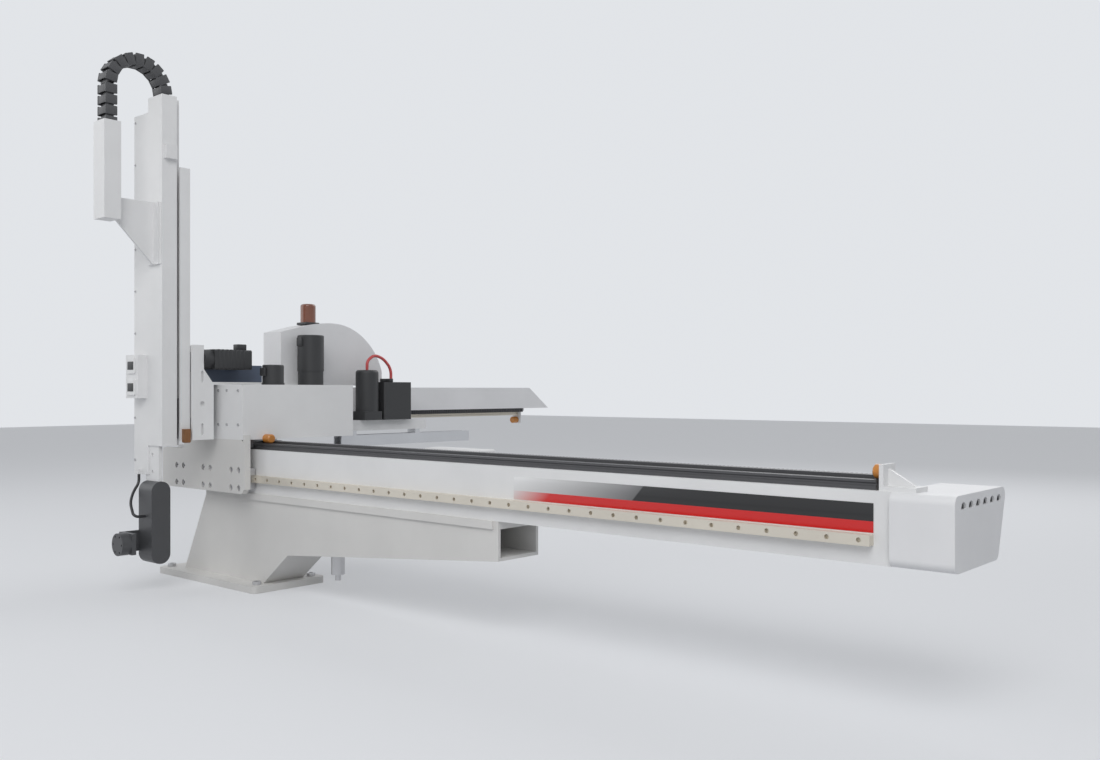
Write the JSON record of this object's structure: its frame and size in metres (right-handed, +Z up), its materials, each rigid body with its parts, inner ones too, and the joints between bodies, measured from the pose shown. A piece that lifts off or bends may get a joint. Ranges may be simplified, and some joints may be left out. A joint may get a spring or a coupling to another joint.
{
  "type": "injection moulding take-out robot",
  "caption": "Cartesian take-out robot: a long traverse beam on a cast sprue base carries a cantilever ram, a telescopic vertical arm with a cable chain, and a flipping wrist.",
  "frame": {"origin": "middle of the base plate's underside, at the centre of its four bolts", "axes": "+X along the traverse beam towards its end cover, +Y back along the ram to its tail, +Z up"},
  "size_m": [2.517, 1.887, 1.5429],
  "materials": {
    "white_paint": "satin powder coat",
    "cream_steel": "ground, oiled",
    "dark_steel": "blackened",
    "bright_steel": "machined",
    "white_alloy": "satin powder coat",
    "silver_alloy": "anodised",
    "motor_black": "matte",
    "wrist_grey": "matte coat",
    "chain_grey": "matte",
    "slate_box": "satin",
    "lamp_red": "translucent look",
    "urethane_orange": "soft gloss",
    "urethane_brown": "soft gloss",
    "hose_red": "soft gloss",
    "hose_black": "soft gloss",
    "cover_plastic": "fine texture",
    "gauge_white": "smooth",
    "casting": "painted light warm grey"
  },
  "bodies": {
    "base": {"sprue_base": "casting", "jack_bolt": "bright_steel", "traverse_beam": "white_paint", "lower_rail": "cream_steel", "upper_rail": "dark_steel", "traverse_rack": "dark_steel", "end_cover": "cover_plastic", "stop_bracket": "white_paint", "stop_bumper": "urethane_orange", "cable_duct": "white_alloy"},
    "carriage": {"carriage_plate": "casting", "lower_block_1": "bright_steel", "lower_block_2": "bright_steel", "lower_block_3": "bright_steel", "upper_block_1": "bright_steel", "upper_block_2": "bright_steel", "carriage_bridge": "white_alloy", "carriage_housing": "white_alloy", "top_plate": "white_alloy", "carriage_bumper": "urethane_orange", "traverse_servo": "motor_black", "ram_servo": "motor_black", "dome_cover": "cover_plastic", "signal_lamp": "lamp_red", "rear_bracket": "white_alloy", "rear_cable_tray": "silver_alloy", "air_unit": "motor_black", "valve_block": "motor_black", "air_hose": "hose_red", "ram_block_front": "bright_steel", "ram_block_back": "bright_steel"},
    "traverse_gear": {"traverse_pinion": "bright_steel"},
    "ram_gear": {"ram_pinion": "bright_steel"},
    "ram": {"ram_beam": "white_alloy", "ram_rail": "cream_steel", "ram_rack": "dark_steel", "ram_cover": "cover_plastic", "ram_bumper": "urethane_orange", "arm_mount_plate": "white_alloy", "front_frame": "white_alloy", "ram_control_box": "slate_box", "arm_servo": "motor_black", "arm_block_lower": "bright_steel", "arm_block_upper": "bright_steel", "chain_anchor": "silver_alloy", "chain_inner_run": "chain_grey"},
    "stage_1": {"arm_stage_1": "white_alloy", "stage_1_bumper": "urethane_brown", "stage_2_block": "bright_steel", "chain_bend": "chain_grey"},
    "stage_2": {"arm_stage_2": "white_alloy", "stage_2_cover": "white_alloy", "arm_gauges": "gauge_white", "chain_tray": "white_alloy", "chain_outer_run": "chain_grey", "wrist_plate": "white_alloy", "wrist_housing": "wrist_grey", "arm_hose": "hose_black"},
    "wrist": {"wrist_bracket": "wrist_grey", "gripper_flange": "wrist_grey"}
  },
  "joints": [
    {"name": "traverse_slide", "type": "slide", "parent": "base", "child": "carriage", "axis": [1, 0, 0], "range_m": [0, 1.8]},
    {"name": "traverse_pinion_spin", "type": "hinge", "parent": "carriage", "child": "traverse_gear", "pos_m": [0.15, 0.021, 0.423], "axis": [0, 0, 1], "range_deg": [-4300, 0]},
    {"name": "ram_slide", "type": "slide", "parent": "carriage", "child": "ram", "axis": [0, -1, 0], "range_m": [0, 0.9]},
    {"name": "ram_pinion_spin", "type": "hinge", "parent": "carriage", "child": "ram_gear", "pos_m": [0.083, 0.208, 0.506], "axis": [0, 0, 1], "range_deg": [0, 1148]},
    {"name": "arm_stage_1_slide", "type": "slide", "parent": "ram", "child": "stage_1", "axis": [0, 0, -1], "range_m": [0, 0.5], "deforming": ["chain_inner_run"]},
    {"name": "arm_stage_2_slide", "type": "slide", "parent": "stage_1", "child": "stage_2", "axis": [0, 0, -1], "range_m": [0, 0.5], "deforming": ["chain_outer_run"]},
    {"name": "wrist_flip", "type": "hinge", "parent": "stage_2", "child": "wrist", "pos_m": [-0.025, -0.289, 0.148], "axis": [1, 0, 0], "range_deg": [0, 90]}
  ],
  "couplings": [
    {"joint": "traverse_pinion_spin", "follows": "traverse_slide", "rad_per_m": -41.667},
    {"joint": "ram_pinion_spin", "follows": "ram_slide", "rad_per_m": 22.222},
    {"joint": "arm_stage_2_slide", "follows": "arm_stage_1_slide", "ratio": 1}
  ]
}
